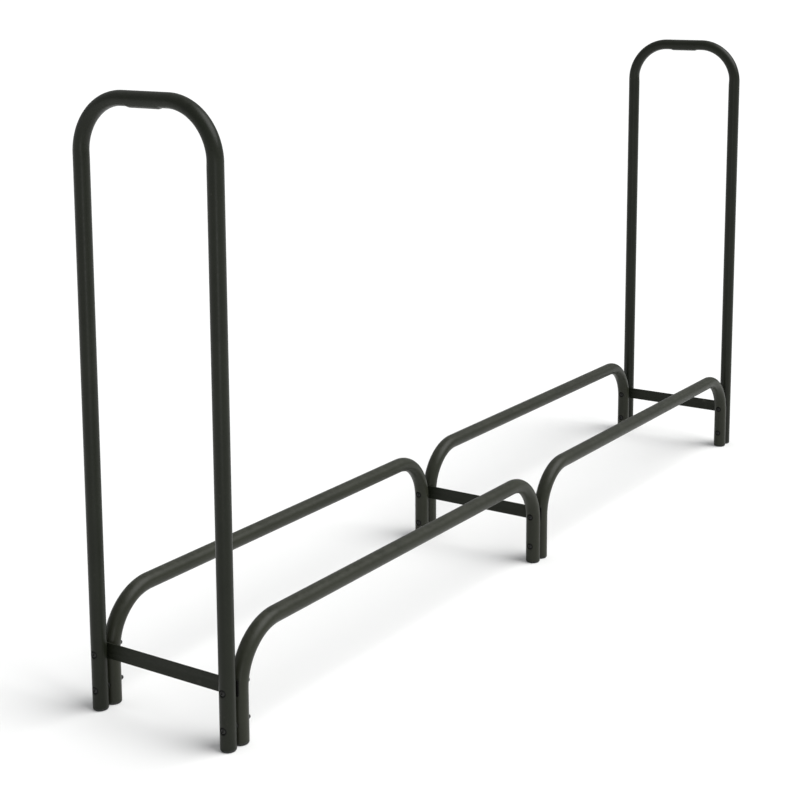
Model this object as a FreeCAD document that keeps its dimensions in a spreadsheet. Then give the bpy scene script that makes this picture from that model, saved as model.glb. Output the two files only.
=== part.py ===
import FreeCAD, Part

# Firewood log rack: two tall end frames and four low base rails of bent round tube, bolted leg to
# leg through three flat crossbars. X runs along the rack, Y from its front to its back and Z up.
# The origin is on the floor, in the middle of the rack.
import math
import os

import Sketcher
from FreeCAD import Placement, Rotation, Vector

# Driving dimensions, in millimetres.
SIZES = {
    # end frames
    "rack_height": 1219,  # floor to the outer top of the end frames, 48 in
    "leg_spacing": 322,  # front legs to back legs, between tube axes
    "frame_tube": 31.75,  # outside diameter, 1.25 in
    "frame_bend": 106,  # radius of the bends, on the tube's axis
    # base rails
    "rail_top": 234,  # floor to the outer top of the rails
    "rail_span": 1136.8,  # between the axes of one rail's two legs
    "rail_tube": 34,  # outside diameter
    "rail_bend": 111,  # radius of the bends, on the tube's axis
    "wall": 1.5,  # wall thickness of every tube
    # bolted joints
    "upper_bolt": 116.5,  # height of the upper bolts, which also hold the crossbars
    "lower_bolt": 42.5,  # height of the lower bolts
    "bolt_hole": 6.6,  # clearance hole for an M6 bolt
    "seat_depth": 2,  # depth of the dimple pressed around a bolt hole
    "seat_radius": 6,  # flat floor of the dimple, inside 45 degree walls
    # crossbars
    "strap_width": 32,
    "strap_thick": 3,
    "strap_length": 346,
    "strap_corner": 2.5,
    # M6 button head bolts
    "shank": 6,
    "bolt_length": 75,  # under the head
    "point": 1,  # chamfer at the bolt's tip
    "head_width": 10.5,
    "head_height": 3.3,
    "head_edge": 0.5,  # upright rim of the head, below its dome
    "socket_flats": 4,
    "socket_depth": 2,
    # M6 cap nuts and their washers
    "nut_flats": 10,
    "nut_hex": 5,  # height of the six-sided part
    "nut_height": 12,
    "dome_width": 9.5,
    "nut_bore": 6.1,
    "nut_depth": 9.5,  # depth of the blind hole
    "washer_width": 12,
    "washer_hole": 6.4,
    "washer_thick": 1.6,
    "spacer_width": 16,
    # foot plugs
    "plug_lip": 5,  # height of the part that shows below the tube
    "plug_round": 4,  # radius of its bottom edge
    "plug_reach": 22,  # length inside the tube
    "plug_wall": 2,
    "plug_gap": 0.1,  # between the plug and the tube's bore
}

# How far a cutting shape is carried on past a tube's crest. A rail's leg already leans into its
# bend at the upper bolt, so its wall stands out a little there.
MARGIN = 3
# A nut's six corners are turned off at 30 degrees, down to a round face. Shares of the width across
# the flats: the round face, and a circle clear of the corners.
NUT_FACE, NUT_CLEAR = 0.95, 1.25
ONTO_YZ = Rotation(Vector(1, 1, 1), 120)  # turns a flat drawing's x and y to the rack's Y and Z
ONTO_XZ = Rotation(Vector(1, 0, 0), 90)  # turns them to the rack's X and Z
ALONG = {1: Rotation(Vector(0, 1, 0), 90), -1: Rotation(Vector(0, 1, 0), -90)}  # Z to +X or -X
NO_TURN = Rotation()
HALF_TURN = Rotation(Vector(0, 0, 1), 180)
ORIGIN, ACROSS, UPWARDS = -1, -1, -2  # a sketch's own origin point, horizontal and vertical axis
START, END, CENTRE = 1, 2, 3  # the points of a sketch's line, arc or circle
SIDES = {"front": -1, "back": 1}
ENDS = {"left": -1, "right": 1}

doc = FreeCAD.newDocument("log_rack")
sheet = doc.addObject("Spreadsheet::Sheet", "sizes")
for row, (word, number) in enumerate(SIZES.items(), start=1):
    sheet.set(f"A{row}", word)
    sheet.set(f"B{row}", str(number))
    sheet.setAlias(f"B{row}", word)
doc.recompute()


class Size(float):
    """A length that also knows its expression on the sheet, so that what is built from it stays
    bound to the sheet."""

    def __new__(cls, number, words):
        size = super().__new__(cls, number)
        size.words = words
        return size

    def __add__(self, other):
        return Size(float(self) + float(other), f"({self.words} + {words_of(other)})")

    def __sub__(self, other):
        return Size(float(self) - float(other), f"({self.words} - {words_of(other)})")

    def __mul__(self, other):
        return Size(float(self) * float(other), f"({self.words} * {words_of(other)})")

    def __truediv__(self, other):
        return Size(float(self) / float(other), f"({self.words} / {words_of(other)})")

    def __neg__(self):
        return self * -1


def words_of(value):
    """The expression behind a size, or a plain number as text."""
    return value.words if isinstance(value, Size) else str(float(value))


def size(word):
    """A driving dimension, by its name on the sheet."""
    return Size(SIZES[word], f"sizes.{word}")


def bind(thing, **values):
    """Drives lengths of an object from the sheet."""
    for name, value in values.items():
        thing.setExpression(name, words_of(value))


def place(thing, x=0, y=0, z=0, turn=NO_TURN):
    """Stands an object at a point that is worked out on the sheet."""
    thing.Placement = Placement(Vector(x, y, z), turn)
    for axis, value in zip("xyz", (x, y, z)):
        if value:
            thing.setExpression(f"Placement.Base.{axis}", words_of(value))
    return thing


# Sketches


def drive(sketch, kind, *where, value):
    """Adds a dimension to a sketch and drives it from the sheet."""
    index = sketch.addConstraint(Sketcher.Constraint(kind, *where, float(value)))
    name = f"{kind.lower()}_{index}"
    sketch.renameConstraint(index, name)
    sketch.setExpression(f"Constraints.{name}", words_of(value))


def pin(sketch, shape, end, x, y):
    """Fixes a point of a sketch at its distances from the sketch's origin."""
    for kind, value, zero_line in (("DistanceX", x, UPWARDS), ("DistanceY", y, ACROSS)):
        if value:
            drive(sketch, kind, ORIGIN, START, shape, end, value=value)
        else:
            sketch.addConstraint(Sketcher.Constraint("PointOnObject", shape, end, zero_line))


def join(sketch, first, end, second, start):
    """Makes two points of a sketch one."""
    sketch.addConstraint(Sketcher.Constraint("Coincident", first, end, second, start))


def chain(sketch, corners):
    """Straight sides from each corner to the next. Every corner's coordinates are sizes."""
    points = [Vector(x, y, 0) for x, y in corners]
    sides = [
        sketch.addGeometry(Part.LineSegment(here, there)) for here, there in zip(points, points[1:])
    ]
    for side, following in zip(sides, sides[1:]):
        join(sketch, side, END, following, START)
    for side, (x, y) in zip(sides, corners):
        pin(sketch, side, START, x, y)
    return sides


def outline(sketch, corners):
    """A closed outline of straight sides."""
    sides = chain(sketch, [*corners, corners[0]])
    join(sketch, sides[-1], END, sides[0], START)


def arched_outline(sketch, corners, hub, level):
    """Straight sides from the first corner to the last, closed by an arc about the hub, which runs
    anticlockwise from the first corner to the last. The hub is level with the arc's START or END."""
    sides = chain(sketch, corners)
    pin(sketch, sides[-1], END, *corners[-1])
    first, last = Vector(*corners[0]), Vector(*corners[-1])
    hub = Vector(*hub)
    angles = [math.atan2(corner.y - hub.y, corner.x - hub.x) for corner in (first, last)]
    circle = Part.Circle(hub, Vector(0, 0, 1), hub.distanceToPoint(first))
    arc = sketch.addGeometry(Part.ArcOfCircle(circle, *angles))
    join(sketch, arc, START, sides[0], START)
    join(sketch, arc, END, sides[-1], END)
    sketch.addConstraint(Sketcher.Constraint("Horizontal", arc, CENTRE, arc, level))


def rounded_rectangle(sketch, half, rise, corner):
    """A rectangle about the origin, of half width and half height, with round corners."""
    arcs = []
    for quarter, (x_way, y_way) in enumerate(((1, 1), (-1, 1), (-1, -1), (1, -1))):
        hub = Vector((half - corner) * x_way, (rise - corner) * y_way, 0)
        begin = quarter * math.pi / 2
        circle = Part.Circle(hub, Vector(0, 0, 1), corner)
        arcs.append(sketch.addGeometry(Part.ArcOfCircle(circle, begin, begin + math.pi / 2)))
    for arc, following, kind in zip(arcs, arcs[1:] + arcs[:1], ("Horizontal", "Vertical") * 2):
        ends = sketch.getPoint(arc, END), sketch.getPoint(following, START)
        side = sketch.addGeometry(Part.LineSegment(*ends))
        sketch.addConstraint(Sketcher.Constraint("Tangent", arc, END, side, START))
        sketch.addConstraint(Sketcher.Constraint("Tangent", side, END, following, START))
        sketch.addConstraint(Sketcher.Constraint(kind, side))
    for arc in arcs[1:]:
        sketch.addConstraint(Sketcher.Constraint("Equal", arcs[0], arc))
    drive(sketch, "Radius", arcs[0], value=corner)
    pin(sketch, arcs[0], CENTRE, half - corner, rise - corner)
    pin(sketch, arcs[2], CENTRE, corner - half, corner - rise)


def ring(sketch, x, y, *widths):
    """Circles of the given diameters around one point."""
    for width in widths:
        circle = sketch.addGeometry(Part.Circle(Vector(x, y, 0), Vector(0, 0, 1), width / 2))
        pin(sketch, circle, CENTRE, x, y)
        drive(sketch, "Diameter", circle, value=width)


def hexagon(sketch, flats):
    """A regular hexagon around the origin, with a corner straight up."""
    reach = flats / math.sqrt(3)
    circle = sketch.addGeometry(Part.Circle(Vector(), Vector(0, 0, 1), reach), True)
    join(sketch, circle, CENTRE, ORIGIN, START)
    drive(sketch, "Radius", circle, value=reach)
    angles = [math.radians(90 + 60 * corner) for corner in range(7)]
    points = [Vector(reach * math.cos(a), reach * math.sin(a), 0) for a in angles]
    sides = [
        sketch.addGeometry(Part.LineSegment(here, there)) for here, there in zip(points, points[1:])
    ]
    for side, following in zip(sides, sides[1:] + sides[:1]):
        join(sketch, side, END, following, START)
        sketch.addConstraint(Sketcher.Constraint("PointOnObject", side, START, circle))
    for side in sides[1:]:
        sketch.addConstraint(Sketcher.Constraint("Equal", sides[0], side))
    sketch.addConstraint(Sketcher.Constraint("PointOnObject", sides[0], START, UPWARDS))


# Bodies and their features


def new_body(label, **where):
    """An empty body, standing in its place."""
    return place(doc.addObject("PartDesign::Body", label), **where)


def new_sketch(body, plane, name, lift=0):
    """An empty sketch on one of the body's own origin planes, or lifted off it."""
    sketch = body.newObject("Sketcher::SketchObject", name)
    support = next(f for f in body.Origin.OriginFeatures if f.Role == plane)
    sketch.AttachmentSupport = [(support, "")]
    sketch.MapMode = "FlatFace"
    if lift:
        sketch.AttachmentOffset = Placement(Vector(0, 0, lift), NO_TURN)
        sketch.setExpression("AttachmentOffset.Base.z", words_of(lift))
    return sketch


def pad(body, sketch, length, way="One side"):
    feature = body.newObject("PartDesign::Pad", "pad")
    feature.Profile = sketch
    feature.SideType = way
    bind(feature, Length=length)


def sink(body, sketch, depth):
    """A pocket that goes the way the sketch's plane faces."""
    doc.recompute()
    before = body.Shape.Volume
    feature = body.newObject("PartDesign::Pocket", "pocket")
    feature.Profile = sketch
    feature.Reversed = True
    bind(feature, Length=depth)
    doc.recompute()
    if not body.Shape.Volume < before:
        raise RuntimeError(f"{body.Label}: {sketch.Label} cuts nothing")


def spin(body, sketch, axis, kind="Revolution"):
    """A full turn of a sketch about its own H_Axis or V_Axis: a Revolution adds, a Groove cuts."""
    feature = body.newObject(f"PartDesign::{kind}", kind.lower())
    feature.Profile = sketch
    feature.ReferenceAxis = (sketch, [axis])
    feature.Angle = 360


# Bent tubes


def bent_route(name, turn, span, crown, bend):
    """Centreline of an upside-down U: up one leg, over two bends, down the other."""
    route = doc.addObject("Sketcher::SketchObject", name)
    route.Placement = Placement(Vector(), turn)
    foot, side, inner, high = size("plug_lip"), span / 2, span / 2 - bend, crown - bend
    left_bend = Part.Circle(Vector(-inner, high, 0), Vector(0, 0, 1), bend)
    right_bend = Part.Circle(Vector(inner, high, 0), Vector(0, 0, 1), bend)
    up, over_left, across, over_right, down = (
        route.addGeometry(shape)
        for shape in (
            Part.LineSegment(Vector(-side, foot, 0), Vector(-side, high, 0)),
            Part.ArcOfCircle(left_bend, math.pi / 2, math.pi),
            Part.LineSegment(Vector(-inner, crown, 0), Vector(inner, crown, 0)),
            Part.ArcOfCircle(right_bend, 0, math.pi / 2),
            Part.LineSegment(Vector(side, high, 0), Vector(side, foot, 0)),
        )
    )
    for kind, *where in (
        ("Tangent", up, END, over_left, END),
        ("Tangent", over_left, START, across, START),
        ("Tangent", across, END, over_right, END),
        ("Tangent", over_right, START, down, START),
        ("Vertical", up),
        ("Horizontal", across),
        ("Vertical", down),
        ("Equal", over_left, over_right),
        ("Symmetric", up, START, down, END, UPWARDS),
    ):
        route.addConstraint(Sketcher.Constraint(kind, *where))
    drive(route, "Radius", over_left, value=bend)
    drive(route, "DistanceX", up, START, down, END, value=span)
    drive(route, "DistanceY", ORIGIN, START, up, START, value=foot)
    drive(route, "DistanceY", ORIGIN, START, across, START, value=crown)
    return route


def swept_bar(name, route, start, width):
    """A solid round bar along a route."""
    section = place(doc.addObject("Part::Circle", f"{name}_section"), **start)
    bind(section, Radius=width / 2)
    bar = doc.addObject("Part::Sweep", name)
    bar.Sections = [section]
    bar.Spine = (route, [f"Edge{i + 1}" for i in range(route.GeometryCount)])
    bar.Solid = True
    return bar


def cone(name, way, low, high, length, **where):
    """A cone along X that narrows from the low radius to the high one."""
    shape = doc.addObject("Part::Cone", name)
    bind(shape, Radius1=low, Radius2=high, Height=length)
    return place(shape, turn=ALONG[way], **where)


def drill(name, way, tube, **where):
    """A bolt hole's cutter, along X through the whole tube."""
    shape = doc.addObject("Part::Cylinder", name)
    bind(shape, Radius=size("bolt_hole") / 2, Height=tube + 2 * MARGIN)
    return place(shape, turn=ALONG[way], **where)


def fused(name, shapes):
    union = doc.addObject("Part::MultiFuse", name)
    union.Shapes = shapes
    return union


def cut(label, base, tool):
    shape = doc.addObject("Part::Cut", label)
    shape.Base = base
    shape.Tool = tool
    return shape


def bolted_tube(kind, tube, route, start, crests):
    """A bent tube and the tools that finish it. At each bolt, on the crest of the tube that faces
    away from the tube beside it, the wall is pressed into a dimple that gives the bolt's head or
    nut a flat seat. crests has one (x, y, way in) for each leg."""
    wall, floor, deep = size("wall"), size("seat_radius"), size("seat_depth")
    pressings, cutters = [], []
    for leg, (x, y, way) in enumerate(crests):
        for level in ("upper_bolt", "lower_bolt"):
            name = f"{kind}_{level}_{leg}"
            where = {"x": x - way * MARGIN, "y": y, "z": size(level)}
            height = deep + MARGIN
            cutters.append(cone(f"{name}_dimple", way, floor + height, floor, height, **where))
            cutters.append(drill(f"{name}_hole", way, tube, **where))
            # The pressed wall keeps its thickness, so its back is a cone as well.
            wide = floor + height + wall * math.sqrt(2)
            height += wall
            pressings.append(cone(f"{name}_back", way, wide, wide - height, height, **where))
    bar = swept_bar(f"{kind}_bar", route, start, tube)
    bore = swept_bar(f"{kind}_bore", route, start, tube - wall * 2)
    core = cut(f"{kind}_core", bore, fused(f"{kind}_pressings", pressings))
    return cut(f"{kind}_shell", bar, core), fused(f"{kind}_cutters", cutters)


frame_tube, rail_tube, strap = size("frame_tube"), size("rail_tube"), size("strap_thick")
leg_y, rail_span = size("leg_spacing") / 2, size("rail_span")
foot_height = size("plug_lip")

# Along X, from the middle: the legs that stand together are a strap's thickness apart.
middle_leg = (rail_tube + strap) / 2
outer_leg = middle_leg + rail_span
frame_x = outer_leg + (rail_tube + frame_tube) / 2 + strap

parts = {}

frame_route = bent_route(
    "frame_route",
    ONTO_YZ,
    size("leg_spacing"),
    size("rack_height") - frame_tube / 2,
    size("frame_bend"),
)
frame_shell, frame_cutters = bolted_tube(
    "frame",
    frame_tube,
    frame_route,
    {"y": -leg_y, "z": foot_height},
    [(-frame_tube / 2, -leg_y, 1), (-frame_tube / 2, leg_y, 1)],
)
for end, turn in (("left", NO_TURN), ("right", HALF_TURN)):
    label = f"end_frame_{end}"
    frame = cut(label, frame_shell, frame_cutters)
    parts[label] = place(frame, x=frame_x * ENDS[end], turn=turn)

rail_route = bent_route(
    "rail_route",
    ONTO_XZ,
    rail_span,
    size("rail_top") - rail_tube / 2,
    size("rail_bend"),
)
inner_crest = (rail_span - rail_tube) / 2
rail_shell, rail_cutters = bolted_tube(
    "rail",
    rail_tube,
    rail_route,
    {"x": -rail_span / 2, "z": foot_height},
    [(-inner_crest, 0, -1), (inner_crest, 0, 1)],
)
rail_middle = (middle_leg + outer_leg) / 2
for end, end_way in ENDS.items():
    for side, side_way in SIDES.items():
        label = f"rail_{side}_{end}"
        rail = cut(label, rail_shell, rail_cutters)
        parts[label] = place(rail, x=rail_middle * end_way, y=leg_y * side_way)


# Crossbars, spacers, bolts, nuts and washers. A station is a place where legs are bolted together.
# Each has the X of the strap's middle, of the head's seat and of the nut's seat.
seat = size("seat_depth")
half_gap = strap / 2
end_gap = outer_leg + middle_leg
stations = {
    "left": (
        -end_gap,
        -end_gap - half_gap - frame_tube + seat,
        -end_gap + half_gap + rail_tube - seat,
    ),
    "middle": (0, -half_gap - rail_tube + seat, half_gap + rail_tube - seat),
    "right": (
        end_gap,
        end_gap - half_gap - rail_tube + seat,
        end_gap + half_gap + frame_tube - seat,
    ),
}


def crossbar(label, x):
    """Flat strap with a bolt hole near each end, held on edge between the legs."""
    body = new_body(label, x=x, z=size("upper_bolt"))
    blank = new_sketch(body, "YZ_Plane", "blank")
    half, rise = size("strap_length") / 2, size("strap_width") / 2
    rounded_rectangle(blank, half, rise, size("strap_corner"))
    for way in SIDES.values():
        ring(blank, leg_y * way, 0, size("bolt_hole"))
    pad(body, blank, strap, "Symmetric")
    return body


def spacer(label, x, y):
    """Round washer as thick as the strap, which keeps the legs parallel at a lower bolt."""
    body = new_body(label, x=x, y=y, z=size("lower_bolt"))
    face = new_sketch(body, "YZ_Plane", "face")
    ring(face, 0, 0, size("spacer_width"), size("bolt_hole"))
    pad(body, face, strap, "Symmetric")
    return body


def bolt(label, x, y, z):
    """Button head bolt along +X, with the underside of its head at x."""
    body = new_body(label, x=x, y=y, z=z)
    shank, rim, tall = size("shank") / 2, size("head_width") / 2, size("head_height")
    edge, tip, point = size("head_edge"), size("bolt_length"), size("point")
    rise = tall - edge
    dome = (rim * rim + rise * rise) / (rise * 2)
    half_section = new_sketch(body, "XZ_Plane", "half_section")
    corners = [(-edge, rim), (0, rim), (0, shank), (tip - point, shank), (tip, shank - point)]
    arched_outline(half_section, [*corners, (tip, 0), (-tall, 0)], (dome - tall, 0), END)
    spin(body, half_section, "H_Axis")
    socket = new_sketch(body, "YZ_Plane", "socket", lift=-tall)
    hexagon(socket, size("socket_flats"))
    sink(body, socket, size("socket_depth"))
    return body


def cap_nut(label, x, y, z):
    """Domed nut along +X, with its flat face at x and a plain bore in place of the thread."""
    body = new_body(label, x=x, y=y, z=z)
    flats, hex_height = size("nut_flats"), size("nut_hex")
    plan = new_sketch(body, "YZ_Plane", "plan")
    hexagon(plan, flats)
    pad(body, plan, hex_height)
    low, high = flats * NUT_FACE / 2, flats * NUT_CLEAR / 2
    run = (high - low) * math.tan(math.radians(30))
    corner = new_sketch(body, "XZ_Plane", "corner_chamfers")
    outline(corner, [(0, low), (run, high), (0, high)])
    outline(corner, [(hex_height, low), (hex_height, high), (hex_height - run, high)])
    spin(body, corner, "H_Axis", "Groove")
    dome, top = size("dome_width") / 2, size("nut_height")
    half_section = new_sketch(body, "XZ_Plane", "dome")
    corners = [(top, 0), (0, 0), (0, dome), (top - dome, dome)]
    arched_outline(half_section, corners, (top - dome, 0), START)
    spin(body, half_section, "H_Axis")
    bore = new_sketch(body, "YZ_Plane", "bore")
    ring(bore, 0, 0, size("nut_bore"))
    sink(body, bore, size("nut_depth"))
    return body


def washers(label, x):
    """The four washers of one station, each between a tube's dimple and a nut."""
    body = new_body(label, x=x)
    body.AllowCompound = True
    face = new_sketch(body, "YZ_Plane", "face")
    for way in SIDES.values():
        for level in ("upper_bolt", "lower_bolt"):
            ring(face, leg_y * way, size(level), size("washer_width"), size("washer_hole"))
    pad(body, face, size("washer_thick"))
    return body


for station, (strap_x, head_x, nut_x) in stations.items():
    parts[f"crossbar_{station}"] = crossbar(f"crossbar_{station}", strap_x)
    parts[f"washers_{station}"] = washers(f"washers_{station}", nut_x)
    for side, way in SIDES.items():
        y = leg_y * way
        parts[f"spacer_{station}_{side}"] = spacer(f"spacer_{station}_{side}", strap_x, y)
        for level in ("upper", "lower"):
            place_name, z = f"{station}_{side}_{level}", size(f"{level}_bolt")
            parts[f"bolt_{place_name}"] = bolt(f"bolt_{place_name}", head_x, y, z)
            nut_face = nut_x + size("washer_thick")
            parts[f"nut_{place_name}"] = cap_nut(f"nut_{place_name}", nut_face, y, z)


def foot_plug(label, tube, x, y):
    """Moulded plug in the bottom of a leg: a rounded lip as wide as the tube, which stands on the
    floor, and a hollow spigot inside the tube."""
    body = new_body(label, x=x, y=y)
    outer, lip, top = tube / 2, size("plug_lip"), size("plug_lip") + size("plug_reach")
    spigot = outer - size("wall") - size("plug_gap")
    inner, edge = spigot - size("plug_wall"), size("plug_round")
    half_section = new_sketch(body, "XZ_Plane", "half_section")
    base = [(outer - edge, 0), (0, 0), (0, lip)]
    cup = [(inner, lip), (inner, top), (spigot, top), (spigot, lip)]
    rim = [(outer, lip), (outer, edge)]
    arched_outline(half_section, [*base, *cup, *rim], (outer - edge, edge), END)
    spin(body, half_section, "V_Axis")
    return body


for side, side_way in SIDES.items():
    y = leg_y * side_way
    for end, end_way in ENDS.items():
        label = f"foot_frame_{side}_{end}"
        parts[label] = foot_plug(label, frame_tube, frame_x * end_way, y)
        for leg, leg_x in (("outer", outer_leg), ("middle", middle_leg)):
            label = f"foot_rail_{side}_{end}_{leg}"
            parts[label] = foot_plug(label, rail_tube, leg_x * end_way, y)

doc.recompute()

# Every object has to be sound before anything is written.
for thing in doc.Objects:
    if {"Invalid", "Error"} & set(thing.State):
        raise RuntimeError(f"{thing.Label} failed: {thing.State}")
    if thing.TypeId == "Sketcher::SketchObject" and not thing.FullyConstrained:
        raise RuntimeError(f"{thing.Label} isn't fully constrained")
for label, part in parts.items():
    if part.Shape.isNull() or not part.Shape.isValid() or not part.Shape.Solids:
        raise RuntimeError(f"{label} has no sound solid")

os.makedirs("parts", exist_ok=True)
for label, part in parts.items():
    part.Label = label
    part.Shape.exportStep(f"parts/{label}.step")
    print(f"{label}: {len(part.Shape.Solids)} solid, {part.Shape.Volume / 1000:.2f} cm3")
print(len(parts), "sub-parts")
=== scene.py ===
import math

import bmesh
import bpy
import numpy as np
from mathutils import Matrix, Vector


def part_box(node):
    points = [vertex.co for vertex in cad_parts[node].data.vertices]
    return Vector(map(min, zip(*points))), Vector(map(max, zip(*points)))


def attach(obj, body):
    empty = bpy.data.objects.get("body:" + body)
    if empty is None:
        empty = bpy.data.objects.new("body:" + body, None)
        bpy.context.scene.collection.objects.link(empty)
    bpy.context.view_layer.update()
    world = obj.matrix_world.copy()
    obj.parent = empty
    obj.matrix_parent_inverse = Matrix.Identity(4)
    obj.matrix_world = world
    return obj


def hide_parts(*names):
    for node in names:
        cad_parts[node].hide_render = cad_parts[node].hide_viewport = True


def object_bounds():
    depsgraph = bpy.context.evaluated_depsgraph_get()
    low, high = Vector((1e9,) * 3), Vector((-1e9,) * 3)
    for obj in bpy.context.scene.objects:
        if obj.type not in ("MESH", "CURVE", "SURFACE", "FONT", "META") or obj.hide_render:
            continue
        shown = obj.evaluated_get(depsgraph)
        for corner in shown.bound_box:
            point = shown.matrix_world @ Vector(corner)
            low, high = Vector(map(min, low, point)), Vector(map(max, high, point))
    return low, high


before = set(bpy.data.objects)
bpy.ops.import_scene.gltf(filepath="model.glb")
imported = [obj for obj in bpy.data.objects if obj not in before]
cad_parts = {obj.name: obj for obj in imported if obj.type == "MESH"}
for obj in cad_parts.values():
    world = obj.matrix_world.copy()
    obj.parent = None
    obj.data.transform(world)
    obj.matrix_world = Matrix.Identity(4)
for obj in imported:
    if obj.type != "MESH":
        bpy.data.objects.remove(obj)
cad_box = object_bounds()

MM = 0.001
SIDES, ENDS = ("front", "back"), ("left", "right")
STATIONS, LEVELS = ("left", "middle", "right"), ("upper", "lower")

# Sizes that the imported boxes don't give.
WALL = 1.5 * MM
FRAME_BEND, RAIL_BEND = 106 * MM, 111 * MM  # radii of the bends, on the tube's axis
HOLE = 3.3 * MM  # radius of the bolt holes in tubes, crossbars and spacers
SEAT_DEPTH, SEAT_RADIUS = 2 * MM, 6 * MM  # dimple pressed into the tube around a bolt hole
EDGE = 0.3 * MM  # broken edges on cut metal


def middle(node):
    """Centre of a CAD node's box."""
    low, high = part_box(node)
    return (low + high) / 2


# ---------------------------------------------------------------------------------- mesh helpers

SEGMENTS = 48
AROUND = np.arange(SEGMENTS) * math.tau / SEGMENTS


def make_piece(name, points, faces, material, slot, replaced, sharp=35):
    """A mesh piece of the rack that stands for CAD nodes. Edges over sharp degrees stay crisp."""
    mesh = bpy.data.meshes.new(name)
    mesh.from_pydata([tuple(point) for point in points], [], faces)
    shell = bmesh.new()
    shell.from_mesh(mesh)
    loose = [vertex for vertex in shell.verts if not vertex.link_faces]
    bmesh.ops.delete(shell, geom=loose, context="VERTS")
    bmesh.ops.recalc_face_normals(shell, faces=shell.faces)
    shell.to_mesh(mesh)
    shell.free()
    mesh.shade_smooth()
    mesh.set_sharp_from_angle(angle=math.radians(sharp))
    mesh.materials.append(material)
    piece = bpy.data.objects.new(name, mesh)
    bpy.context.scene.collection.objects.link(piece)
    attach(piece, "root")
    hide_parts(*replaced)
    return piece


def joined(skins):
    """Several (points, faces) skins as one."""
    points, faces = [], []
    for skin_points, skin_faces in skins:
        start = len(points)
        points.extend(skin_points)
        faces.extend([tuple(start + corner for corner in face) for face in skin_faces])
    return points, faces


def hexagon(angles, flats):
    """Distance from the middle of a hexagon to its side, with a corner at angle zero."""
    return flats / 2 / np.cos(np.mod(angles, math.pi / 3) - math.pi / 6)


def turned(rings, centre, axis="X", segments=SEGMENTS, shut=False):
    """Skin over rings about an axis through centre. A ring is (distance along the axis, radius at
    each angle), and a radius of None is a single point. With shut, the last ring joins the first."""
    angles = np.arange(segments) * math.tau / segments
    points, starts, faces = [], [], []
    for along, radii in rings:
        starts.append(len(points))
        reach = np.zeros(1) if radii is None else radii * np.ones(segments)
        around = angles[: len(reach)]
        flat = np.full(len(reach), along)
        offsets = (
            (flat, reach * np.sin(around), reach * np.cos(around))
            if axis == "X"
            else (reach * np.sin(around), reach * np.cos(around), flat)
        )
        points.extend(np.array(centre) + np.array(offsets).T)
    pairs = list(zip(range(len(rings)), range(1, len(rings))))
    if shut:
        pairs.append((len(rings) - 1, 0))
    for here, there in pairs:
        for k in range(segments):
            corners = []
            for ring, step in ((here, k), (here, k + 1), (there, k + 1), (there, k)):
                single = rings[ring][1] is None
                corner = starts[ring] + (0 if single else step % segments)
                if corner not in corners:
                    corners.append(corner)
            faces.append(tuple(corners))
    return points, faces


# ---------------------------------------------------------------------------------- bent tubes
#
# The bender squeezes the inner side of a bend. A tube's squeeze is ((start, full), (fades, gone)),
# all as lengths along its axis: it grows over the first pair, taken from the bend's lower end, and
# dies out over the second, taken from its upper end.

FINE, COARSE = 0.7 * MM, 50 * MM  # spacing of the rings at a bolt and along a plain leg
BEGUN, ENDING = 12, 78  # degrees of turn between which a bend's rings stand wider apart
BEGIN_STEP, PLAIN_STEP, END_STEP = 0.35, 2, 0.8  # degrees between a bend's rings
CREST, CREST_STEP, ROUND_STEP = 36, 2.4, 4.8  # degrees around the tube: the crest's half and steps
PRESSED = 11 * MM  # reach of a dimple, with its soft rim
SOFT = 0.7 * MM  # rounding of a dimple's floor and rim


def smooth(share):
    """A step from nought to one with soft ends."""
    share = np.clip(share, 0, 1)
    return share * share * (3 - 2 * share)


def leg_levels(foot, tangent, bolts, squeeze):
    """Heights of a leg's rings, close together at its bolts and where its bend's squeeze begins."""
    levels = [foot, foot + EDGE, *np.arange(foot + COARSE / 2, tangent - COARSE / 2, COARSE)]
    levels = [z for z in levels if all(abs(z - bolt) > PRESSED + FINE for bolt in bolts)]
    for bolt in bolts:
        levels.extend(np.arange(bolt - PRESSED, min(bolt + PRESSED, tangent - FINE / 2), FINE))
    levels.extend(tangent + np.arange(min(squeeze, 0), 0, 2 * FINE))
    return sorted(levels)


def bend_turns():
    """Angles of a bend's rings from its lower end, close together where the bend begins and ends."""
    begins = np.arange(0, BEGUN, BEGIN_STEP)
    plain = np.arange(BEGUN, ENDING, PLAIN_STEP)
    ends = np.arange(ENDING, 90.01, END_STEP)
    return np.radians([*begins, *plain, *ends])


def route(tube):
    """The rings of an upside-down U, as (across, up, angle of its outer side, share squeezed)."""
    side, bend, crown = tube["side"], tube["bend"], tube["crown"]
    high = crown - bend
    (start, full), (fades, gone) = tube["squeeze"]
    left = []
    for z in leg_levels(tube["foot"], high, tube["bolts"], start):
        left.append((-side, z, math.pi, z - high))
    for turn in bend_turns():
        across, up = bend - side - math.cos(turn) * bend, high + math.sin(turn) * bend
        left.append((across, up, math.pi - turn, turn * bend))
    quarter = bend * math.pi / 2
    for past in np.arange(FINE, gone + FINE, FINE):
        left.append((bend - side + past, crown, math.pi / 2, quarter + past))
    rings = []
    for across, up, angle, along in left:
        rise = smooth((along - start) / (full - start))
        fall = smooth((quarter + gone - along) / (gone - fades))
        rings.append((across, up, angle, rise * fall))
    # The right half mirrors the left one.
    mirrored = [(-across, up, math.pi - angle, share) for across, up, angle, share in rings[::-1]]
    return rings + mirrored


def ring_angles(crest):
    """Angles around the tube, close together at the crest that takes the bolts' dimples."""
    near, far = np.arange(-CREST, CREST, CREST_STEP), np.arange(CREST, 360 - CREST, ROUND_STEP)
    return crest + np.radians([*near, *far])


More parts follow.
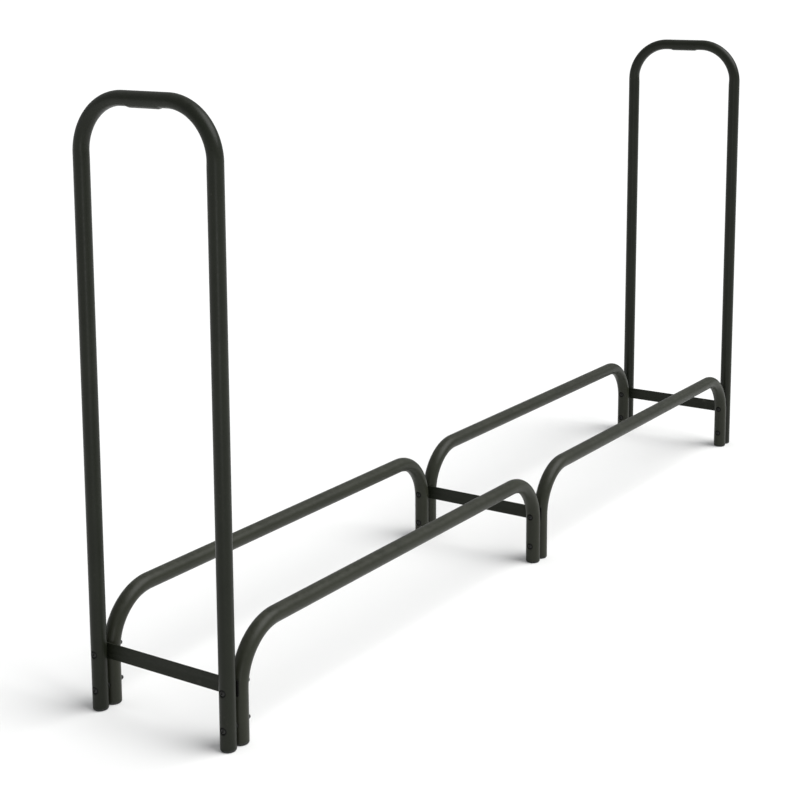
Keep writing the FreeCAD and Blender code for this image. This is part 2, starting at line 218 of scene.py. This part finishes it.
def pressed(points, seats, back):
    """Presses the dimples in. Each seat is (x, y, z, way out), and back is how far the skin lies
    behind the tube's outer one."""
    for x, y, z, way in seats:
        away = np.hypot(points[..., 1] - y, points[..., 2] - z)
        out = (points[..., 0] - x) * way
        rise = away - SEAT_RADIUS
        limit = (rise + np.hypot(rise, SOFT)) / 2 - back
        lower = (out + limit - np.hypot(out - limit, SOFT)) / 2
        near = np.hypot(away, out) < 2 * PRESSED
        points[..., 0] = np.where(near, x + way * lower, points[..., 0])
    return points


def bent_tube(tube):
    """Points and faces of a bent tube with its bore, bolt holes and dimples."""
    rings = route(tube)
    across, up, outer_angle, squeezed = (np.array(column)[:, None] for column in zip(*rings))
    angles = ring_angles(tube["crest"])[None, :]
    skins = []
    for back in (0, WALL):
        radius = tube["radius"] - back
        inward = np.clip(-np.cos(angles), 0, 1)
        out = radius * np.cos(angles) + tube["sink"] * squeezed * inward**2
        aside = radius * np.sin(angles) * (1 + tube["widen"] * squeezed)
        if not back:
            out[[0, -1]] *= 1 - EDGE / radius
            aside = aside * np.ones_like(out)
            aside[[0, -1]] *= 1 - EDGE / radius
        u = across + np.cos(outer_angle) * out
        v = up + np.sin(outer_angle) * out
        w = aside * np.ones_like(out)
        points = tube["place"](u, w, v)
        skins.append(pressed(np.stack(points, axis=-1), tube["seats"], back))
    skins = np.array(skins)
    count, segments = skins.shape[1:3]

    # Cells of the skin inside a bolt hole are left out, and their edges are drawn to the hole's round.
    nxt = (np.arange(segments) + 1) % segments
    corners = skins[0][:-1], skins[0][1:], skins[0][:-1][:, nxt], skins[0][1:][:, nxt]
    centres = sum(corners) / 4
    open_cells = np.zeros(centres.shape[:2], bool)
    for _, y, z, _ in tube["seats"]:
        open_cells |= np.hypot(centres[..., 1] - y, centres[..., 2] - z) < HOLE
    touched = np.zeros((2, count, segments), int)
    for kind, cells in enumerate((open_cells, ~open_cells)):
        for row in (slice(0, -1), slice(1, None)):
            touched[kind][row] += cells
            touched[kind][row][:, nxt] += cells
    rim = (touched[0] > 0) & (touched[1] > 0)
    for skin in skins:
        for _, y, z, _ in tube["seats"]:
            offset = skin[..., 1:] - (y, z)
            away = np.linalg.norm(offset, axis=-1)
            drawn = rim & (away < 2 * HOLE)
            skin[..., 1:][drawn] = (y, z) + offset[drawn] / away[drawn][:, None] * HOLE

    def corner(skin, ring, k):
        return (skin * count + ring) * segments + k % segments

    faces = []
    for ring, k in zip(*np.nonzero(~open_cells)):
        for skin in (0, 1):
            cell = [(ring, k), (ring, k + 1), (ring + 1, k + 1), (ring + 1, k)]
            faces.append(tuple(corner(skin, *place) for place in cell))
    edges = [((end, k), (end, k + 1)) for end in (0, count - 1) for k in range(segments)]
    for ring, k in zip(*np.nonzero(open_cells)):
        for beside, edge in (
            ((ring - 1, k), ((ring, k), (ring, k + 1))),
            ((ring + 1, k), ((ring + 1, k), (ring + 1, k + 1))),
            ((ring, k - 1), ((ring, k), (ring + 1, k))),
            ((ring, k + 1), ((ring, k + 1), (ring + 1, k + 1))),
        ):
            if not open_cells[beside[0], beside[1] % segments]:
                edges.append(edge)
    for first, second in edges:
        faces.append((corner(0, *first), corner(0, *second), corner(1, *second), corner(1, *first)))
    return skins.reshape(-1, 3), faces


def end_frame(end, material):
    node = f"end_frame_{end}"
    low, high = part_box(node)
    front, back = (middle(f"foot_frame_{side}_{end}") for side in SIDES)
    centre = (front + back) / 2
    way = -1 if end == "left" else 1
    radius = (high.x - low.x) / 2
    bolts = {level: middle(f"bolt_{end}_front_{level}") for level in LEVELS}
    crest = centre.x + way * radius
    tube = {
        "radius": radius,
        "side": (back - front).y / 2,
        "bend": FRAME_BEND,
        "crown": cad_box[1].z - radius,
        "foot": low.z,
        "bolts": [bolt.z for bolt in bolts.values()],
        "crest": math.pi / 2,
        "sink": 2.4 * MM,  # depth of the squeeze on the inner side
        "widen": 0.02,  # share by which the squeezed tube is wider
        "squeeze": ((-10 * MM, 26 * MM), (12 * MM, 22 * MM)),
        "place": lambda u, w, v: (centre.x + way * w, centre.y + u, v),
        "seats": [
            (crest - way * SEAT_DEPTH, leg.y, bolt.z, way)
            for leg in (front, back)
            for bolt in bolts.values()
        ],
    }
    return make_piece(f"tube_{node}", *bent_tube(tube), material, "frame_coat", [node])


def base_rail(side, end, material):
    node = f"rail_{side}_{end}"
    low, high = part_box(node)
    legs = [middle(f"foot_rail_{side}_{end}_{leg}") for leg in ("outer", "middle")]
    legs.sort(key=lambda leg: leg.x)
    centre = (legs[0] + legs[1]) / 2
    radius = legs[0].x - low.x
    bolts = {level: middle(f"bolt_{end}_{side}_{level}") for level in LEVELS}
    tube = {
        "radius": radius,
        "side": (legs[1] - legs[0]).x / 2,
        "bend": RAIL_BEND,
        "crown": high.z - radius,
        "foot": low.z,
        "bolts": [bolt.z for bolt in bolts.values()],
        "crest": math.pi,
        "sink": 1.2 * MM,
        "widen": 0.01,
        "squeeze": ((24 * MM, 49 * MM), (-49 * MM, -24 * MM)),
        "place": lambda u, w, v: (centre.x + u, centre.y + w, v),
        "seats": [
            (leg.x + way * (radius - SEAT_DEPTH), centre.y, bolt.z, way)
            for leg, way in zip(legs, (1, -1))
            for bolt in bolts.values()
        ],
    }
    return make_piece(f"tube_{node}", *bent_tube(tube), material, "rail_coat", [node])


# ---------------------------------------------------------------------------------- crossbars

STRAP_CORNER = 2.5 * MM


def crossbar(station, material):
    """Flat strap on edge, with soft edges all round and a bolt hole near each end."""
    node = f"crossbar_{station}"
    low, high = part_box(node)
    centre, half = (low + high) / 2, (high - low) / 2
    plan = bpy.data.curves.new(node, "CURVE")
    plan.dimensions, plan.fill_mode = "2D", "BOTH"
    plan.extrude, plan.bevel_depth, plan.offset = half.x - EDGE, EDGE, -EDGE
    plan.bevel_resolution = 3
    turns = np.radians(np.arange(0, 90.1, 10))
    outline = [
        (
            x_way * (half.y - STRAP_CORNER) + math.cos(turn + start) * STRAP_CORNER,
            y_way * (half.z - STRAP_CORNER) + math.sin(turn + start) * STRAP_CORNER,
        )
        for start, x_way, y_way in (
            (0, 1, 1),
            (math.pi / 2, -1, 1),
            (math.pi, -1, -1),
            (math.pi * 1.5, 1, -1),
        )
        for turn in turns
    ]
    loops = [outline]
    for side in SIDES:
        y = middle(f"bolt_{station}_{side}_upper").y - centre.y
        loops.append([(y + math.cos(turn) * HOLE, math.sin(turn) * HOLE) for turn in AROUND])
    for loop in loops:
        spline = plan.splines.new("POLY")
        spline.points.add(len(loop) - 1)
        spline.use_cyclic_u = True
        for point, (x, y) in zip(spline.points, loop):
            point.co = (x, y, 0, 1)
    drawing = bpy.data.objects.new(node, plan)
    sheet = bpy.data.meshes.new_from_object(drawing)
    bpy.data.objects.remove(drawing)
    shell = bmesh.new()
    shell.from_mesh(sheet)
    bmesh.ops.remove_doubles(shell, verts=shell.verts, dist=0.01 * MM)
    points = [(centre.x + v.co.z, centre.y + v.co.x, centre.z + v.co.y) for v in shell.verts]
    faces = [tuple(v.index for v in face.verts) for face in shell.faces]
    shell.free()
    return make_piece(f"strap_{station}", points, faces, material, "strap_coat", [node])


# ---------------------------------------------------------------------------------- hardware

HEAD_RADIUS, HEAD_HEIGHT, HEAD_RIM = 5.25 * MM, 3.3 * MM, 0.5 * MM
SOCKET_FLATS, SOCKET_DEPTH, SOCKET_POINT = 4 * MM, 2 * MM, 0.5 * MM
SOCKET_RIM = 0.75 * MM  # flat of the head around its socket
SHANK, TIP = 3 * MM, 1 * MM
THREAD_LENGTH, THREAD_PITCH, THREAD_DEPTH = 24 * MM, 1 * MM, 0.55 * MM
RINGS_PER_PITCH = 5

NUT_FLATS, NUT_HEX, NUT_HEIGHT = 10 * MM, 5 * MM, 12 * MM
NUT_FACE = 4.75 * MM  # radius of the nut's round face and of its dome
NUT_BORE, NUT_DEPTH, NUT_POINT = 3.05 * MM, 9.5 * MM, 1 * MM
WASHER_RADIUS, WASHER_HOLE = 6 * MM, 3.2 * MM


def bolt(name, material):
    """M6 button head bolt with a hex socket and its thread."""
    low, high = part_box(name)
    centre = middle(name)
    length = high.x - low.x - HEAD_HEIGHT
    centre.x = low.x + HEAD_HEIGHT
    rise = HEAD_HEIGHT - HEAD_RIM
    sphere = (HEAD_RADIUS**2 + rise**2) / (2 * rise)
    socket = hexagon(AROUND, SOCKET_FLATS)
    mouth = SOCKET_FLATS / 2 + SOCKET_RIM
    floor = SOCKET_DEPTH - HEAD_HEIGHT
    rings = [(floor + SOCKET_POINT, None), (floor, socket), (EDGE - HEAD_HEIGHT, socket)]

    def dome(radius):
        return (sphere - HEAD_HEIGHT - np.sqrt(sphere**2 - radius**2), radius)

    flat_top = dome(mouth)[0]
    rings.append((flat_top, socket + EDGE / 2))
    rings.extend(dome(radius) for radius in np.linspace(mouth, HEAD_RADIUS, 9))
    rings.append((-EDGE / 2, HEAD_RADIUS))
    rings.extend([(0, HEAD_RADIUS - EDGE / 2), (0, SHANK + EDGE), (EDGE, SHANK)])
    start, end = length - THREAD_LENGTH, length - TIP
    for along in np.linspace(start, end, round((end - start) / THREAD_PITCH * RINGS_PER_PITCH) + 1):
        phase = np.mod(along / THREAD_PITCH - AROUND / math.tau, 1)
        groove = 1 - np.abs(2 * phase - 1)
        fade = smooth((along - start) / (2 * THREAD_PITCH))
        rings.append((along, SHANK - THREAD_DEPTH * groove * fade))
    rings.extend([(length, SHANK - TIP), (length, None)])
    points, faces = turned(rings, centre)
    return make_piece(f"{name}_m6", points, faces, material, "fastener", [name])


def cap_nut(name, material):
    """M6 domed cap nut."""
    low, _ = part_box(name)
    centre = middle(name)
    centre.x = low.x
    corner = NUT_FLATS / math.sqrt(3)
    flats = np.minimum(hexagon(AROUND, NUT_FLATS), corner - EDGE / 3)
    slope = math.sqrt(3)  # the corners are turned off at 30 degrees to the face
    run = (corner - NUT_FACE) / slope
    cut_in = np.linspace(0, run, 7)
    rings = [(NUT_DEPTH + NUT_POINT, None), (NUT_DEPTH, NUT_BORE)]
    rings.extend([(EDGE, NUT_BORE), (0, NUT_BORE + EDGE)])
    rings.extend((x, np.minimum(flats, NUT_FACE + x * slope)) for x in cut_in)
    rings.extend(
        (NUT_HEX - x, np.minimum(flats, NUT_FACE + x * slope)) for x in cut_in[::-1]
    )
    spring = NUT_HEIGHT - NUT_FACE
    rings.append((NUT_HEX + EDGE, NUT_FACE - EDGE / 2))
    for turn in np.radians(np.arange(0, 90, 7.5)):
        rings.append((spring + NUT_FACE * math.sin(turn), (NUT_FACE - EDGE / 2) * math.cos(turn)))
    rings.append((NUT_HEIGHT, None))
    points, faces = turned(rings, centre)
    return make_piece(f"{name}_m6", points, faces, material, "fastener", [name])


def flat_ring(centre, thick, outer, inner):
    """Skin of a flat washer with broken edges, along X from its middle."""
    half, soft = thick / 2, EDGE / 2
    rings = [
        (-half, inner + soft),
        (-half, outer - soft),
        (soft - half, outer),
        (half - soft, outer),
        (half, outer - soft),
        (half, inner + soft),
        (half - soft, inner),
        (soft - half, inner),
    ]
    return turned(rings, centre, shut=True)


def washers(station, material):
    """The four washers of one station."""
    node = f"washers_{station}"
    low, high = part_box(node)
    skins = []
    for side in SIDES:
        for level in LEVELS:
            nut = middle(f"nut_{station}_{side}_{level}")
            centre = ((low.x + high.x) / 2, nut.y, nut.z)
            skins.append(flat_ring(centre, high.x - low.x, WASHER_RADIUS, WASHER_HOLE))
    return make_piece(f"{node}_m6", *joined(skins), material, "fastener", [node])


def spacer(node, material):
    low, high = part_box(node)
    skin = flat_ring(middle(node), high.x - low.x, (high.z - low.z) / 2, HOLE)
    return make_piece(f"{node}_ring", *skin, material, "spacer", [node])


# ---------------------------------------------------------------------------------- foot plugs

LIP, LIP_ROUND, PLUG_WALL, PLUG_GAP = 5 * MM, 4 * MM, 2 * MM, 0.1 * MM
GATE_DEPTH, GATE_FLOOR, GATE_RIM = 0.4 * MM, 0.8 * MM, 1 * MM  # mark of the moulding gate below
RIBS, RIB_START, RIB_THICK = 4, 0.3, 0.45  # the ribs' number, and their place and size in a pitch


def foot_plug(node, material):
    """Ribbed tube insert: a rounded lip as wide as the leg, and a hollow spigot inside it."""
    low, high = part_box(node)
    centre = middle(node)
    centre.z = low.z
    outer, top = (high.x - low.x) / 2, high.z - low.z
    spigot = outer - WALL - PLUG_GAP
    bore = spigot - PLUG_WALL
    rings = [(GATE_DEPTH, None), (GATE_DEPTH, GATE_FLOOR), (0, GATE_RIM)]
    for turn in np.radians(np.arange(0, 90.1, 9)):
        along = LIP_ROUND * (1 - math.cos(turn))
        rings.append((along, outer - LIP_ROUND * (1 - math.sin(turn))))
    rings.extend([(LIP - EDGE, outer), (LIP, outer - EDGE), (LIP, spigot - EDGE)])
    pitch = (top - LIP) / RIBS
    thick = pitch * RIB_THICK
    for rib in range(RIBS):
        start = LIP + pitch * (rib + RIB_START)
        rings.extend([(start, spigot - 2 * EDGE), (start + EDGE, spigot)])
        rings.extend([(start + thick, spigot), (start + thick + EDGE, spigot - 2 * EDGE)])
    rings.extend([(top, spigot - 2 * EDGE), (top, bore), (LIP, bore), (LIP, None)])
    skin = turned(rings, centre, axis="Z", segments=96)
    return make_piece(f"{node}_plug", *skin, material, "plug", [node])


# ---------------------------------------------------------------------------------- materials


class Nodes:
    """A material and its node tree, with short ways to add a node and join sockets."""

    def __init__(self, name):
        self.material = bpy.data.materials.new(name)
        self.material.use_nodes = True
        self.tree = self.material.node_tree
        self.shader = self.tree.nodes["Principled BSDF"]
        self.place = self.add("ShaderNodeTexCoord").outputs["Object"]

    def add(self, kind, inputs=None, **settings):
        node = self.tree.nodes.new(kind)
        for name, value in settings.items():
            setattr(node, name, value)
        for name, value in (inputs or {}).items():
            if isinstance(value, bpy.types.NodeSocket):
                self.tree.links.new(value, node.inputs[name])
            else:
                node.inputs[name].default_value = value
        return node

    def noise(self, size, detail=2, stretch=(1, 1, 1), roughness=0.5):
        """Noise whose features are about size metres across, stretched along the axes."""
        mapping = self.add(
            "ShaderNodeMapping",
            {"Vector": self.place, "Scale": [1 / (size * part) for part in stretch]},
        )
        inputs = {
            "Vector": mapping.outputs["Vector"],
            "Scale": 1,
            "Detail": detail,
            "Roughness": roughness,
        }
        return self.add("ShaderNodeTexNoise", inputs).outputs["Fac"]

    def spread(self, value, low, high, to_low=0, to_high=1):
        """Maps a value from one range to another, held at its ends."""
        inputs = {
            "Value": value,
            "From Min": low,
            "From Max": high,
            "To Min": to_low,
            "To Max": to_high,
        }
        return self.add("ShaderNodeMapRange", inputs).outputs["Result"]

    def maths(self, operation, first, second):
        return self.add(
            "ShaderNodeMath", {0: first, 1: second}, operation=operation
        ).outputs["Value"]

    def mixed(self, share, first, second):
        """A blend of two colours. The mix node's colour sockets share their names with its others,
        so they are picked by index."""
        node = self.add("ShaderNodeMix", data_type="RGBA")
        for socket, value in ((0, share), (6, first), (7, second)):
            if isinstance(value, bpy.types.NodeSocket):
                self.tree.links.new(value, node.inputs[socket])
            else:
                node.inputs[socket].default_value = value
        return node.outputs[2]

    def bumped(self, *layers):
        """Bumps one over another. Each layer is (height, its distance in metres)."""
        normal = None
        for height, distance in layers:
            inputs = {"Height": height, "Strength": 1, "Distance": distance}
            if normal:
                inputs["Normal"] = normal
            normal = self.add("ShaderNodeBump", inputs).outputs["Normal"]
        return normal

    def from_bolts(self):
        """Distance from the axis of the nearest bolt. Every bolt lies along X."""
        place = self.add("ShaderNodeSeparateXYZ", {"Vector": self.place}).outputs
        upper, lower = (middle(f"bolt_left_front_{level}") for level in LEVELS)
        aside = self.maths("SUBTRACT", self.maths("ABSOLUTE", place["Y"], 0), abs(upper.y))
        heights = [self.maths("SUBTRACT", place["Z"], bolt.z) for bolt in (upper, lower)]
        above = self.maths("MINIMUM", *(self.maths("ABSOLUTE", height, 0) for height in heights))
        across = self.add("ShaderNodeCombineXYZ", {"X": aside, "Y": above}).outputs["Vector"]
        return self.add("ShaderNodeVectorMath", {0: across}, operation="LENGTH").outputs["Value"]

    def facing_up(self):
        """One where the surface faces up, and nought on its sides and below."""
        normal = self.add("ShaderNodeNewGeometry").outputs["Normal"]
        height = self.add("ShaderNodeSeparateXYZ", {"Vector": normal}).outputs["Z"]
        return self.spread(height, 0.35, 1)

    def finish(self, **sockets):
        for name, value in sockets.items():
            socket = self.shader.inputs[name.replace("_", " ")]
            if isinstance(value, bpy.types.NodeSocket):
                self.tree.links.new(value, socket)
            else:
                socket.default_value = value
        return self.material


def grey(red, green, blue):
    """A colour from its 0 to 255 screen values, in linear light."""

    def linear(level):
        level /= 255
        return level / 12.92 if level < 0.04045 else ((level + 0.055) / 1.055) ** 2.4

    return (linear(red), linear(green), linear(blue), 1)


SHADE_INNER, SHADE_OUTER = 6.4 * MM, 8.8 * MM  # radii between which the painted shade around a bolt fades out
SHADE_START, SHADE_FULL = -6 * MM, 8 * MM  # along a strap, from its bolt towards its end: where its painted shade begins and where it is full


def powder_coat(name, dark, light, worn, rough, strap=False):
    """Black powder coat: a faint orange peel and grain, cloudy gloss, dust on what faces up, a few
    dry scuffs, and painted shade: near black around each bolt, fading out over its dimple's rim,
    or along the clamped ends of a strap."""
    nodes = Nodes(name)
    clouds = nodes.spread(nodes.noise(90 * MM, detail=3), 0.3, 0.7, 0, 0.6)
    mottle = nodes.spread(nodes.noise(4 * MM, detail=3), 0.3, 0.7, 0, 0.4)
    colour = nodes.mixed(nodes.maths("ADD", clouds, mottle), dark, light)
    scratches = nodes.noise(2.5 * MM, detail=4, stretch=(0.25, 9, 3))
    patches = nodes.noise(120 * MM, detail=2)
    scuffs = nodes.maths(
        "MULTIPLY", nodes.spread(scratches, 0.64, 0.72), nodes.spread(patches, 0.52, 0.66)
    )
    dust = nodes.maths(
        "MULTIPLY", nodes.facing_up(), nodes.spread(nodes.noise(14 * MM, detail=5), 0.35, 0.75)
    )
    dulled = nodes.maths("MAXIMUM", scuffs, nodes.maths("MULTIPLY", dust, 0.6))
    colour = nodes.mixed(nodes.maths("MULTIPLY", dulled, worn), colour, grey(128, 126, 118))
    if strap:
        # A strap is darkened towards its clamped ends as painted shade, for the groove between the
        # tubes where they sit.
        along = nodes.add("ShaderNodeSeparateXYZ", {"Vector": nodes.place}).outputs["Y"]
        reach = abs(middle("bolt_left_front_upper").y)
        away = nodes.maths("ABSOLUTE", along, 0)
        painted_shade = nodes.spread(away, reach + SHADE_START, reach + SHADE_FULL)
    else:
        # Painted shade around each bolt, standing in for the shade inside its dimple.
        painted_shade = nodes.spread(nodes.from_bolts(), SHADE_INNER, SHADE_OUTER, 1, 0)
    # The painted shade is mixed in here, towards near black.
    colour = nodes.mixed(nodes.maths("MULTIPLY", painted_shade, 0.95), colour, grey(2, 2, 2))
    peel, grain = nodes.noise(1.6 * MM, detail=1), nodes.noise(0.35 * MM, detail=2)
    gloss = nodes.spread(nodes.noise(7 * MM, detail=4), 0.3, 0.7, rough - 0.05, rough + 0.05)
    # Where the painted shade lies, the coat is also made rougher.
    dusty, shaded_matt = nodes.maths("MULTIPLY", dulled, 0.2), nodes.maths("MULTIPLY", painted_shade, 0.5)
    matt = nodes.maths("MAXIMUM", dusty, shaded_matt)
    return nodes.finish(
        Base_Color=colour,
        Roughness=nodes.maths("ADD", gloss, matt),
        Normal=nodes.bumped((peel, 0.05 * MM), (grain, 0.018 * MM)),
        Specular_IOR_Level=0.18,
    )


def black_oxide(name):
    """Blackened steel hardware: fine turning marks, a slight mottle and rubbed high spots."""
    nodes = Nodes(name)
    mottle = nodes.noise(1.2 * MM, detail=4)
    colour = nodes.mixed(nodes.spread(mottle, 0.3, 0.75), grey(17, 18, 16), grey(32, 33, 30))
    rubbed = nodes.spread(nodes.noise(0.5 * MM, detail=3, stretch=(1, 3, 1)), 0.66, 0.74)
    colour = nodes.mixed(nodes.maths("MULTIPLY", rubbed, 0.35), colour, grey(104, 101, 95))
    roughness = nodes.spread(nodes.noise(0.8 * MM, detail=3), 0.3, 0.7, 0.36, 0.52)
    pits = nodes.noise(0.25 * MM, detail=2)
    return nodes.finish(
        Base_Color=colour,
        Roughness=roughness,
        Metallic=0.0,
        Normal=nodes.bumped((pits, 0.008 * MM)),
        Specular_IOR_Level=0.3,
    )


def moulded(name, dark, light, rough):
    """Black moulded plastic with a spark-eroded grain."""
    nodes = Nodes(name)
    mottle = nodes.noise(3 * MM, detail=3)
    colour = nodes.mixed(nodes.spread(mottle, 0.3, 0.7), dark, light)
    grime = nodes.spread(nodes.noise(9 * MM, detail=5), 0.55, 0.75, 0, 0.12)
    colour = nodes.mixed(grime, colour, grey(120, 116, 106))
    roughness = nodes.spread(nodes.noise(1.5 * MM, detail=4), 0.3, 0.7, rough - 0.06, rough + 0.06)
    grain = nodes.noise(0.4 * MM, detail=3)
    return nodes.finish(
        Base_Color=colour,
        Roughness=roughness,
        Normal=nodes.bumped((grain, 0.02 * MM)),
        Specular_IOR_Level=0.35,
    )


# The frame and rails wear one powder coat. rail_coat is a lighter copy of it, painting in the light on
# the rails' tops, and frame_coat a darker copy, painting in the shade on the legs.
frame_coat = powder_coat("frame_coat", grey(22, 25, 17), grey(30, 33, 25), 0.10, 0.36)
rail_coat = powder_coat("rail_coat", grey(36, 38, 30), grey(43, 45, 36), 0.16, 0.38)
strap_coat = powder_coat("strap_coat", grey(24, 27, 19), grey(30, 33, 24), 0.12, 0.50, strap=True)
hardware = black_oxide("fastener")
spacer_coat = powder_coat("spacer", grey(20, 21, 20), grey(26, 27, 25), 0.08, 0.5)
plug_plastic = moulded("plug", grey(27, 30, 28), grey(34, 36, 33), 0.55)

# ---------------------------------------------------------------------------------- the rack

for end in ENDS:
    end_frame(end, frame_coat)
    for side in SIDES:
        base_rail(side, end, rail_coat)
        foot_plug(f"foot_frame_{side}_{end}", plug_plastic)
        for leg in ("outer", "middle"):
            foot_plug(f"foot_rail_{side}_{end}_{leg}", plug_plastic)
for station in STATIONS:
    crossbar(station, strap_coat)
    washers(station, hardware)
    for side in SIDES:
        spacer(f"spacer_{station}_{side}", spacer_coat)
        for level in LEVELS:
            bolt(f"bolt_{station}_{side}_{level}", hardware)
            cap_nut(f"nut_{station}_{side}_{level}", hardware)

# ---------------------------------------------------------------------------------- stage

scene = bpy.context.scene
scene.view_settings.view_transform = "Standard"

FLOOR_RADIUS, FLOOR_SIDES = 100, 96
WORLD_STRENGTH = 0.5
KEY_ENERGY, KEY_ANGLE = 3.2, math.radians(55)
STRIP_WIDTH, STRIP_HEIGHT, STRIP_ENERGY = 0.45, 0.9, 7
STRIP_LEVEL, STRIP_AHEAD = 0.4, 0.2  # the strip's height, and how far it stands before the camera


def floor():
    """A wide pale floor with a faint, broad unevenness of tone."""
    nodes = Nodes("floor")
    tone = nodes.mixed(nodes.noise(1.5, detail=2), (0.84, 0.84, 0.83, 1), (0.87, 0.87, 0.86, 1))
    material = nodes.finish(Base_Color=tone, Roughness=0.9, Specular_IOR_Level=0.1)
    mesh = bpy.data.meshes.new("floor")
    turns = np.arange(FLOOR_SIDES) * math.tau / FLOOR_SIDES
    rim = [(FLOOR_RADIUS * math.cos(turn), FLOOR_RADIUS * math.sin(turn), 0) for turn in turns]
    mesh.from_pydata(rim, [], [tuple(range(len(rim)))])
    mesh.materials.append(material)
    piece = bpy.data.objects.new("floor", mesh)
    scene.collection.objects.link(piece)


floor()

# The camera stands where the photo's did, at the photo's angle.
CAMERA_PLACE = Vector((-3.4086, -2.0074, 1.4348))
HEADING, DOWN, ROLL = math.radians(56.647), math.radians(9.297), math.radians(-0.255)
camera_data = bpy.data.cameras.new("camera")
camera_data.lens, camera_data.sensor_width = 74.04, 36
camera_data.shift_y = -0.2035
camera = bpy.data.objects.new("camera", camera_data)
camera.location = CAMERA_PLACE
camera.rotation_euler = (
    Matrix.Rotation(-HEADING, 3, "Z")
    @ Matrix.Rotation(math.pi / 2 - DOWN, 3, "X")
    @ Matrix.Rotation(ROLL, 3, "Z")
).to_euler()
scene.collection.objects.link(camera)
scene.camera = camera

ahead = Vector((math.sin(HEADING), math.cos(HEADING), 0))
rightward = Vector((math.cos(HEADING), -math.sin(HEADING), 0))
upward = Vector((0, 0, 1))

# A broad sun from the right and above, and a tall strip by the camera for the soft band down each tube.
sun = bpy.data.lights.new("key", "SUN")
sun.energy, sun.angle = KEY_ENERGY, KEY_ANGLE
key = bpy.data.objects.new("key", sun)
toward_key = (rightward * 0.8 - ahead * 0.1 + upward).normalized()
key.rotation_euler = toward_key.to_track_quat("Z", "Y").to_euler()
scene.collection.objects.link(key)

strip = bpy.data.lights.new("front", "AREA")
strip.shape, strip.size, strip.size_y = "RECTANGLE", STRIP_WIDTH, STRIP_HEIGHT
strip.energy = STRIP_ENERGY
front = bpy.data.objects.new("front", strip)
front.location = Vector((CAMERA_PLACE.x, CAMERA_PLACE.y, STRIP_LEVEL)) + ahead * STRIP_AHEAD
front.rotation_euler = (ahead * -1).to_track_quat("Z", "Y").to_euler()
scene.collection.objects.link(front)

world = bpy.data.worlds.new("studio")
world.use_nodes = True
world.node_tree.nodes["Background"].inputs["Color"].default_value = (0.97, 0.98, 1, 1)
world.node_tree.nodes["Background"].inputs["Strength"].default_value = WORLD_STRENGTH
scene.world = world
